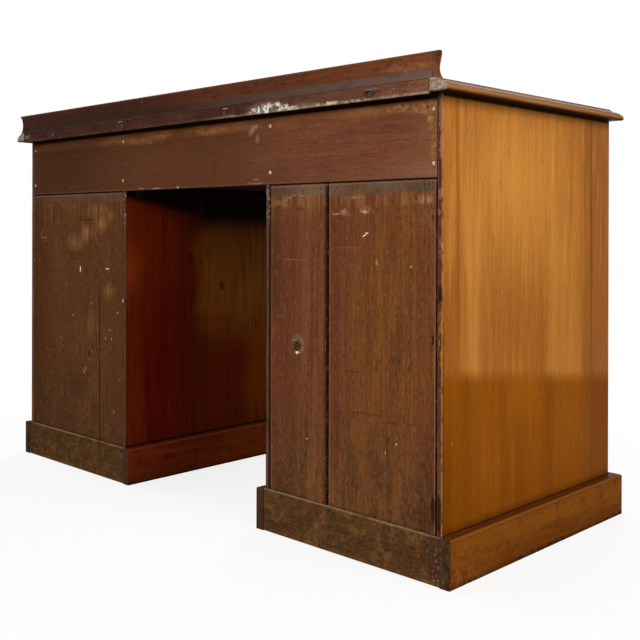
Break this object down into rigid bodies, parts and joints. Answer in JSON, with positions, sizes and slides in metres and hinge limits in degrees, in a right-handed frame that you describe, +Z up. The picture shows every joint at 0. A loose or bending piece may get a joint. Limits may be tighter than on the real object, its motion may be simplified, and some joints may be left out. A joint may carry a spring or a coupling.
{
  "type": "writing desk",
  "caption": "Kneehole writing desk of solid wood with two drawer pedestals, frieze drawers with turned knobs, a moulded top and a low gallery along its back.",
  "frame": {"origin": "on the floor, under the middle of the whole desk's box", "axes": "+Z up, the desk's front faces -Y, and +X is the right of a person who sits at it"},
  "size_m": [1.25, 0.565, 0.791],
  "materials": {
    "mahogany": "worn polish",
    "back_wood": "dull, unpolished",
    "pine": "bare, aged",
    "brass": "tarnished",
    "steel": "darkened"
  },
  "bodies": {
    "carcass": {"outer_side_left": "mahogany", "outer_side_right": "mahogany", "inner_side_left": "mahogany", "inner_side_right": "mahogany", "back_boards_left": "back_wood", "back_boards_right": "back_wood", "rear_apron": "back_wood", "top_board": "mahogany", "top_moulding_left": "mahogany", "top_moulding_right": "mahogany", "top_moulding_front": "mahogany", "rear_strip": "mahogany", "gallery": "mahogany", "plinth_outer_boards": "mahogany", "plinth_inner_boards": "mahogany", "plinth_front_boards": "mahogany", "plinth_rear_boards": "back_wood", "pedestal_bottoms": "pine", "top_rail": "mahogany", "drawer_rails": "mahogany", "back_rails": "pine", "drawer_runners": "pine", "drawer_stops": "pine", "rear_fixings": "steel"},
    "frieze_left_drawer": {"frieze_left_front": "mahogany", "frieze_left_box": "pine", "frieze_left_knobs": "mahogany", "frieze_left_lock": "brass"},
    "frieze_centre_drawer": {"frieze_centre_front": "mahogany", "frieze_centre_box": "pine", "frieze_centre_knobs": "mahogany", "frieze_centre_lock": "brass"},
    "frieze_right_drawer": {"frieze_right_front": "mahogany", "frieze_right_box": "pine", "frieze_right_knobs": "mahogany", "frieze_right_lock": "brass"},
    "left_top_drawer": {"left_top_front": "mahogany", "left_top_box": "pine", "left_top_knobs": "mahogany", "left_top_lock": "brass"},
    "left_middle_drawer": {"left_middle_front": "mahogany", "left_middle_box": "pine", "left_middle_knobs": "mahogany", "left_middle_lock": "brass"},
    "left_bottom_drawer": {"left_bottom_front": "mahogany", "left_bottom_box": "pine", "left_bottom_knobs": "mahogany", "left_bottom_lock": "brass"},
    "right_top_drawer": {"right_top_front": "mahogany", "right_top_box": "pine", "right_top_knobs": "mahogany", "right_top_lock": "brass"},
    "right_middle_drawer": {"right_middle_front": "mahogany", "right_middle_box": "pine", "right_middle_knobs": "mahogany", "right_middle_lock": "brass"},
    "right_bottom_drawer": {"right_bottom_front": "mahogany", "right_bottom_box": "pine", "right_bottom_knobs": "mahogany", "right_bottom_lock": "brass"}
  },
  "joints": [
    {"name": "frieze_left_slide", "type": "slide", "parent": "carcass", "child": "frieze_left_drawer", "axis": [0, -1, 0], "range_m": [0, 0.36]},
    {"name": "frieze_centre_slide", "type": "slide", "parent": "carcass", "child": "frieze_centre_drawer", "axis": [0, -1, 0], "range_m": [0, 0.36]},
    {"name": "frieze_right_slide", "type": "slide", "parent": "carcass", "child": "frieze_right_drawer", "axis": [0, -1, 0], "range_m": [0, 0.36]},
    {"name": "left_top_slide", "type": "slide", "parent": "carcass", "child": "left_top_drawer", "axis": [0, -1, 0], "range_m": [0, 0.36]},
    {"name": "left_middle_slide", "type": "slide", "parent": "carcass", "child": "left_middle_drawer", "axis": [0, -1, 0], "range_m": [0, 0.36]},
    {"name": "left_bottom_slide", "type": "slide", "parent": "carcass", "child": "left_bottom_drawer", "axis": [0, -1, 0], "range_m": [0, 0.36]},
    {"name": "right_top_slide", "type": "slide", "parent": "carcass", "child": "right_top_drawer", "axis": [0, -1, 0], "range_m": [0, 0.36]},
    {"name": "right_middle_slide", "type": "slide", "parent": "carcass", "child": "right_middle_drawer", "axis": [0, -1, 0], "range_m": [0, 0.36]},
    {"name": "right_bottom_slide", "type": "slide", "parent": "carcass", "child": "right_bottom_drawer", "axis": [0, -1, 0], "range_m": [0, 0.36]}
  ]
}
